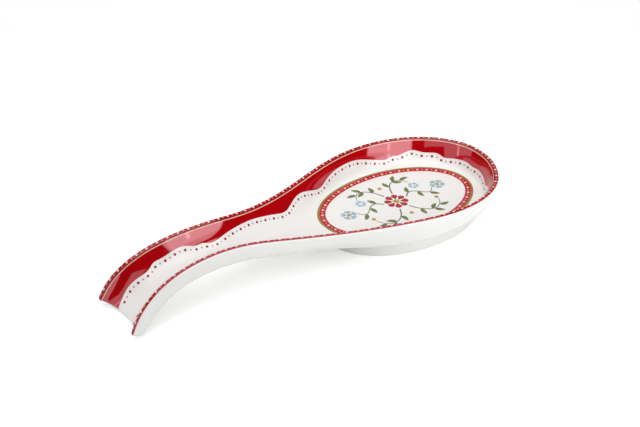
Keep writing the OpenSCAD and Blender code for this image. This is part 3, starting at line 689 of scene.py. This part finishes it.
def flat_blades(name, blades, material):
    """Flat painted shapes on the floor. Each is a list of middle points, of directions
    across and of half widths; its vertices carry how far along and across they lie."""
    points, faces, reach, side = [], [], [], []
    m = len(blade_columns)
    for middles, sideways, half_widths in blades:
        first, count = len(points), len(middles)
        for level in (print_low, print_high):
            for i, (p, v, w) in enumerate(zip(middles, sideways, half_widths)):
                for column in blade_columns:
                    x, y = p + column * max(w, blade_least) * v
                    points.append((medallion_x + x, y, floor_h + level))
                    reach.append(i / (count - 1))
                    side.append(column)
        low, high = first, first + count * m
        for i in range(count - 1):
            for j in range(m - 1):
                a, b = i * m + j, (i + 1) * m + j
                faces += [(high + a, high + a + 1, high + b + 1, high + b),
                    (low + a, low + b, low + b + 1, low + a + 1)]
            for j in (0, m - 1):
                a, b = i * m + j, (i + 1) * m + j
                faces.append((low + a, low + b, high + b, high + a))
        for i in (0, count - 1):
            for j in range(m - 1):
                a = i * m + j
                faces.append((low + a, low + a + 1, high + a + 1, high + a))
    piece = add_piece(name, points, faces, material)
    for key, values in (("reach", reach), ("side", side)):
        attribute = piece.data.attributes.new(key, "FLOAT", "POINT")
        attribute.data.foreach_set("value", values)
    piece.data.set_sharp_from_angle(angle=print_edge_angle)
    return piece


def blade(start, angle, length, width, widest, bend=0):
    """Middle line and half widths of a leaf or petal that starts at a point."""
    t = np.linspace(0, 1, blade_steps + 1)
    angles = np.radians(angle + bend * (t - 0.5))
    steps = np.stack([np.cos(angles), np.sin(angles)], axis=1) * length / blade_steps
    middles = start + np.cumsum(steps, axis=0) - steps[0]
    shape = np.sin(np.pi * t**(math.log(0.5) / math.log(widest)))
    sideways = np.stack([-np.sin(angles), np.cos(angles)], axis=1)
    return middles, sideways, width / 2 * shape**blade_fullness


def painted(name, deep, light, line, line_at, line_width):
    """Painted colour that runs from deep at the base to light at the tip, with a darker
    outline or a lighter middle line where the side attribute is near line_at."""
    material = glazed(name, deep, light, cloud_scale=300)
    tree = material.node_tree
    shader = tree.nodes["Principled BSDF"]
    effect = next(n for n in tree.nodes if n.type == "GROUP")
    reach = shared_node(tree, "ShaderNodeAttribute", (-1100, 300), attribute_name="reach")
    side = shared_node(tree, "ShaderNodeAttribute", (-1100, 0), attribute_name="side")
    wash = shared_node(tree, "ShaderNodeMix", (-700, 300), data_type="RGBA")
    wash.inputs["A"].default_value, wash.inputs["B"].default_value = (*deep, 1), (*light, 1)
    away = shared_node(tree, "ShaderNodeMath", (-900, 0), operation="ABSOLUTE")
    gap = shared_node(tree, "ShaderNodeMath", (-750, 0), operation="SUBTRACT")
    gap.inputs[1].default_value = line_at
    size = shared_node(tree, "ShaderNodeMath", (-600, 0), operation="ABSOLUTE")
    mask = shared_node(tree, "ShaderNodeMapRange", (-450, 0), interpolation_type="SMOOTHSTEP")
    mask.inputs["From Min"].default_value = line_width
    mask.inputs["From Max"].default_value = line_width * line_core
    drawn = shared_node(tree, "ShaderNodeMix", (-450, 300), data_type="RGBA")
    drawn.inputs["B"].default_value = (*line, 1)
    link = tree.links.new
    link(reach.outputs["Fac"], wash.inputs["Factor"])
    link(side.outputs["Fac"], away.inputs[0])
    link(away.outputs[0], gap.inputs[0])
    link(gap.outputs[0], size.inputs[0])
    link(size.outputs[0], mask.inputs["Value"])
    link(mask.outputs["Result"], drawn.inputs["Factor"])
    link(wash.outputs["Result"], drawn.inputs["A"])
    link(drawn.outputs["Result"], effect.inputs["Colour"])
    link(wash.outputs["Result"], effect.inputs["Cloudy Colour"])
    effect.location, shader.location = (-200, 200), (50, 200)
    return material


stem_shares = [
    [[0.22, 0.05], [0.45, 0.6], [0.55, -0.5], [0.71, 0.06]],
    [[0.09, -0.385], [0.25, -1.05], [0.52, -1], [0.6, -0.52]],
    [[0.08, 0.39], [0.2, 1.1], [0.44, 1.05], [0.5, 0.62]]]
leaf_places = [[0, 0.15, 46], [0, 0.45, -50], [0, 0.78, -46], [1, 0.2, -45], [1, 0.45, 48],
    [1, 0.5, -42], [1, 0.75, -46], [2, 0.2, 42], [2, 0.45, -46], [2, 0.5, 42], [2, 0.75, 46]]


def stem_point(k, t):
    return bezier(*(spray_place(share) for share in stem_shares[k]), t)


def stem_way(k, t):
    return unit(stem_point(k, t + stem_probe) - stem_point(k, t - stem_probe))


def on_both_sides(blades):
    over = np.array([-1, 1])
    return blades + [(m * over, v * over, w) for m, v, w in blades]


stems, leaves = [], []
for k in range(len(stem_shares)):
    t = np.linspace(0, 1, stem_steps + 1)
    ways = np.array([stem_way(k, share) for share in t])
    stems.append((np.array([stem_point(k, share) for share in t]),
        np.stack([-ways[:, 1], ways[:, 0]], axis=1), stem_w / 2 * (1 - stem_taper * t)))
for k, t, angle in leaf_places:
    way = stem_way(k, t)
    aside = math.copysign(stem_w * leaf_root_share, angle) * np.array([-way[1], way[0]])
    leaves.append(blade(stem_point(k, t) + aside, math.degrees(math.atan2(way[1], way[0])) + angle,
        leaf_l, leaf_w, leaf_widest, bend=-math.copysign(leaf_bend, angle)))
green_line = painted("painted_green_stem", (0.09, 0.13, 0.03), (0.16, 0.2, 0.05),
    (0.06, 0.09, 0.02), 1, 0.5)
green_leaf = painted("painted_green_leaf", (0.06, 0.11, 0.025), (0.2, 0.24, 0.06),
    (0.34, 0.36, 0.12), 0, 0.22)
for name, node, blades, material in (
        ("spray_stems_print", "spray_stems", stems, green_line),
        ("spray_leaves_print", "spray_leaves", leaves, green_leaf)):
    piece = flat_blades(name, on_both_sides(blades), material)
    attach(piece, "root")
    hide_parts(node)

# Flowers and buds of the spray, painted in red, light blue and ochre washes with a
# darker outline
rosette_petals, blossom_petals, petal_base_share, petal_widest = 8, 5, 0.26, 0.66
side_blossom_share, top_blossom_share = [0.85, 0.12], [0.51, 0.43]
bud_shares = [[0.605, -0.43], [0, -0.72], [0, 0.8]]


def flower(centre, d, petals):
    """A ring of petals about an open middle. Two petals just meet where they are widest."""
    base, width = d / 2 * petal_base_share, math.pi * d * petal_widest / petals
    angles = [360 * (i + 0.5) / petals for i in range(petals)]
    return [blade(centre + base * turned(angle), angle, d / 2 - base, width, petal_widest)
        for angle in angles]


def round_spot(centre, d):
    """A round bud, as a short blade with a circle's widths."""
    t = np.linspace(-1, 1, blade_steps + 1)
    middles = centre + np.stack([t * d / 2, np.zeros_like(t)], axis=1)
    return middles, np.tile([0, 1], (len(t), 1)), d / 2 * np.sqrt(1 - t**2)


centre = np.zeros(2)
side_centre, top_centre = spray_place(side_blossom_share), spray_place(top_blossom_share)
flowers_red = flower(centre, rosette_d, rosette_petals)
flowers_blue = on_both_sides(flower(side_centre, blossom_d, blossom_petals)
    + flower(top_centre, small_blossom_d, blossom_petals))
buds = on_both_sides([round_spot(side_centre, bud_d),
    round_spot(spray_place(bud_shares[0]), bud_d)])
buds += [round_spot(centre, rosette_middle_d)]
buds += [round_spot(spray_place(share), bud_d) for share in bud_shares[1:]]
petal_red = painted("painted_red_petals", (0.28, 0.008, 0.012), (0.5, 0.03, 0.03),
    (0.2, 0.006, 0.01), 1, 0.25)
petal_blue = painted("painted_blue_petals", (0.2, 0.38, 0.5), (0.42, 0.6, 0.68),
    (0.1, 0.2, 0.32), 1, 0.25)
bud_ochre = painted("painted_ochre_buds", (0.5, 0.26, 0.04), (0.6, 0.36, 0.08),
    (0.26, 0.12, 0.02), 1, 0.25)
for name, node, blades, material, finish in (
        ("spray_red_petals_print", "spray_red_flowers", flowers_red, petal_red,
            "print_rosette_red"),
        ("spray_blue_petals_print", "spray_blue_flowers", flowers_blue, petal_blue,
            "print_light_blue"),
        ("spray_ochre_buds_print", "spray_ochre_buds", buds, bud_ochre, "print_ochre")):
    piece = flat_blades(name, blades, material)
    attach(piece, "root")
    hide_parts(node)

# Table: a plain white top in a dim room. It keeps the object's soft shadow, and towards
# its edge it shows pure white, as the room does, so that no edge is seen.
table_half, table_white, near_lift, far_lift = 0.42, 0.85, 0.38, 1.0
lift_from, lift_whole = 0.22, 0.4
table_mesh = bpy.data.meshes.new("table_top")
table_mesh.from_pydata([(-table_half, -table_half, 0), (table_half, -table_half, 0),
    (table_half, table_half, 0), (-table_half, table_half, 0)], [], [(0, 1, 2, 3)])
table = bpy.data.objects.new("table_top", table_mesh)
bpy.context.scene.collection.objects.link(table)
table_paint = bpy.data.materials.new("white_table")
table_paint.use_nodes = True
tree = table_paint.node_tree
tree.nodes.clear()
diffuse = shared_node(tree, "ShaderNodeBsdfDiffuse", (-400, 100),
    Color=(table_white, table_white, table_white, 1))
glow = shared_node(tree, "ShaderNodeEmission", (-400, -100))
rays = shared_node(tree, "ShaderNodeLightPath", (-1100, 0))
mirrored = shared_node(tree, "ShaderNodeMath", (-900, 0), operation="MAXIMUM")
through = shared_node(tree, "ShaderNodeMath", (-750, 0), operation="MAXIMUM")
seen = shared_node(tree, "ShaderNodeMath", (-600, -100), operation="MULTIPLY")
on_table = shared_node(tree, "ShaderNodeTexCoord", (-1200, -300))
distance = shared_node(tree, "ShaderNodeVectorMath", (-1000, -300), operation="LENGTH")
lift = shared_node(tree, "ShaderNodeMapRange", (-800, -300), interpolation_type="SMOOTHSTEP")
for socket, value in (("From Min", lift_from), ("From Max", lift_whole), ("To Min", near_lift),
        ("To Max", far_lift)):
    lift.inputs[socket].default_value = value
added = shared_node(tree, "ShaderNodeAddShader", (-200, 0))
surface = shared_node(tree, "ShaderNodeOutputMaterial", (0, 0))
link = tree.links.new
link(rays.outputs["Is Camera Ray"], mirrored.inputs[0])
link(rays.outputs["Is Glossy Ray"], mirrored.inputs[1])
link(mirrored.outputs[0], through.inputs[0])
link(rays.outputs["Is Transmission Ray"], through.inputs[1])
link(through.outputs[0], seen.inputs[0])
link(on_table.outputs["Object"], distance.inputs[0])
link(distance.outputs["Value"], lift.inputs["Value"])
link(lift.outputs["Result"], seen.inputs[1])
link(seen.outputs[0], glow.inputs["Strength"])
link(diffuse.outputs[0], added.inputs[0])
link(glow.outputs[0], added.inputs[1])
link(added.outputs[0], surface.inputs["Surface"])
table_mesh.materials.append(table_paint)

# Light: a dim room with broad upright diffusers round the table and one overhead. Those
# at the right front and the left have a brighter middle. The room stays dark where the
# glaze mirrors it, and shows white behind the table.
room_level, white_level = 0.015, 1
world = bpy.data.worlds.new("studio")
world.use_nodes = True
bpy.context.scene.world = world
tree = world.node_tree
tree.nodes.clear()
rays = shared_node(tree, "ShaderNodeLightPath", (-800, 0))
seen = shared_node(tree, "ShaderNodeMath", (-600, 0), operation="MAXIMUM")
level = shared_node(tree, "ShaderNodeMapRange", (-400, 0))
level.inputs["To Min"].default_value, level.inputs["To Max"].default_value = room_level, white_level
room = shared_node(tree, "ShaderNodeBackground", (-200, 0), Color=(1, 1, 1, 1))
surface = shared_node(tree, "ShaderNodeOutputWorld", (0, 0))
link = tree.links.new
link(rays.outputs["Is Camera Ray"], seen.inputs[0])
link(rays.outputs["Is Transmission Ray"], seen.inputs[1])
link(seen.outputs[0], level.inputs["Value"])
link(level.outputs["Result"], room.inputs["Strength"])
link(room.outputs[0], surface.inputs["Surface"])


def diffuser(name, corner, way, low_edge, high_edge, brightness):
    """A rectangular lamp from a corner along a way, both in metres, whose face is as
    bright as it says, where 1 is white. Its other side runs from edge to edge."""
    corner, way, rise = Vector(corner), Vector(way), Vector(high_edge) - Vector(low_edge)
    lamp = bpy.data.lights.new(name, "AREA")
    lamp.shape, lamp.size, lamp.size_y = "RECTANGLE", way.length, rise.length
    lamp.energy = math.pi * way.length * rise.length * brightness
    sideways, upright = way.normalized(), rise.normalized()
    turn = Matrix((sideways, upright, sideways.cross(upright))).transposed().to_4x4()
    holder = bpy.data.objects.new(name, lamp)
    holder.matrix_world = Matrix.Translation(corner + Vector(low_edge) + way / 2 + rise / 2) @ turn
    bpy.context.scene.collection.objects.link(holder)


for name, start, end, low, high, brightness in (
        ("right_front_diffuser", (-0.036, -0.413), (0.52, -0.656), 0.04, 0.85, 1.9),
        ("right_front_middle", (-0.02, -0.42), (0.5, -0.647), 0.11, 0.36, 0.85),
        ("right_front_bright_middle", (-0.02, -0.42), (0.5, -0.647), 0.17, 0.29, 2.6),
        ("right_front_lamp", (0.276, -0.969), (0.326, -0.991), 0.2, 0.42, 2),
        ("left_diffuser", (-0.64, 0.527), (-0.64, -0.197), 0.02, 0.52, 0.8),
        ("left_lamp", (-0.62, 0.15), (-0.62, 0.1), 0.05, 0.45, 1.5),
        ("left_front_diffuser", (-0.65, -0.2), (-0.42, -0.66), 0.26, 0.7, 0.75),
        ("left_front_high_diffuser", (-0.65, -0.2), (-0.2, -0.7), 0.7, 1.2, 2),
        ("back_diffuser", (1.3, 0.9), (-0.9, 0.9), 0.35, 1.2, 0.5),
        ("right_diffuser", (1, 0.25), (1, 0.9), 0.2, 0.8, 0.4)):
    diffuser(name, (*start, 0), (end[0] - start[0], end[1] - start[1], 0), (0, 0, low),
        (0, 0, high), brightness)
diffuser("overhead_diffuser", (-0.6, -0.4, 0.95), (1.2, 0, 0), (0, 0, 0), (0, 1, 0), 2.0)

# Camera: a long lens about 0.9 m away, which looks down over the near side of the
# handle from the left, with the bowl further off
view_azimuth, view_elevation, view_roll = -34.836, 32.122, 0.888
view_distance, view_target = 908.14, (12.86, 8.34, 20.46)
lens_mm, sensor_mm = 78.75, 36
(cos_a, sin_a), (cos_e, sin_e) = turned(view_azimuth), turned(view_elevation)
back = Vector((sin_a * cos_e, -cos_a * cos_e, sin_e))
right = Vector((cos_a, sin_a, 0))
upward = back.cross(right)
cos_r, sin_r = turned(view_roll)
turned_right = cos_r * right + sin_r * upward
turned_up = cos_r * upward - sin_r * right
camera_data = bpy.data.cameras.new("photo_camera")
camera_data.lens, camera_data.sensor_width = lens_mm, sensor_mm
camera_data.clip_start, camera_data.clip_end = 0.05, 20
camera = bpy.data.objects.new("photo_camera", camera_data)
axes = Matrix((turned_right, turned_up, back)).transposed()
camera_place = (Vector(view_target) + back * view_distance) * MM
camera.matrix_world = Matrix.Translation(camera_place) @ axes.to_4x4()
bpy.context.scene.collection.objects.link(camera)
bpy.context.scene.camera = camera
bpy.context.scene.view_settings.view_transform = "Standard"
